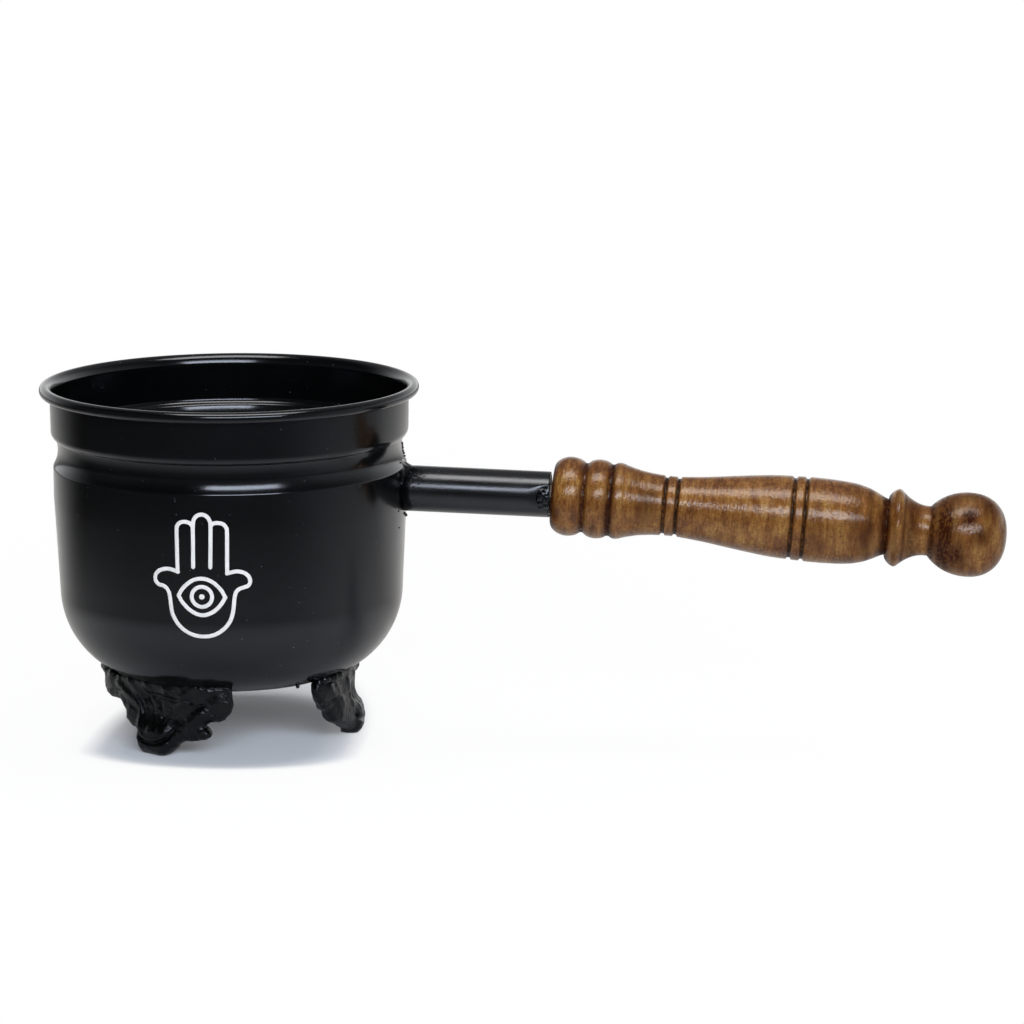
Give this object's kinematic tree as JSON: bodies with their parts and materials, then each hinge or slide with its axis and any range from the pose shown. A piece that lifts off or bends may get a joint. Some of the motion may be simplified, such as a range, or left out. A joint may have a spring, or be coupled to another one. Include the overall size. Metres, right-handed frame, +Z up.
{
  "type": "hand censer",
  "caption": "Hand-held censer: a rolled-rim steel pot on cast leaf feet, with a welded tube stem and a turned wooden ball-end handle.",
  "frame": {"origin": "centre of the bounding box on the floor that the feet stand on", "axes": "+X from the pot along the handle, +Y to the back of the pot, away from its printed front, +Z up out of the pot's mouth"},
  "size_m": [0.2714, 0.1066, 0.1005],
  "materials": {
    "pot_paint": "black stoved paint, satin to semi-gloss, on pressed sheet steel",
    "stem_paint": "black semi-gloss paint on steel tube",
    "weld_paint": "thick glossy black paint over lumpy weld beads",
    "foot_paint": "rough casting under a thick glossy coat of black paint",
    "stud_steel": "bare mild steel, hidden in the stem and the handle",
    "print_ink": "white enamel ink, screen-printed on the pot's front",
    "handle_wood": "turned honey-brown hardwood, glossy varnish, burned grooves"
  },
  "bodies": {
    "root": {"pot_shell": "pot_paint", "foot_handle": "foot_paint", "foot_weld_handle_left": "weld_paint", "foot_weld_handle_right": "weld_paint", "foot_rear": "foot_paint", "foot_weld_rear_left": "weld_paint", "foot_weld_rear_right": "weld_paint", "foot_front": "foot_paint", "foot_weld_front_left": "weld_paint", "foot_weld_front_right": "weld_paint", "stem_tube": "stem_paint", "stem_weld": "weld_paint", "stud_plug_weld": "weld_paint", "handle_stud": "stud_steel", "handle_grip": "handle_wood"}
  },
  "joints": []
}
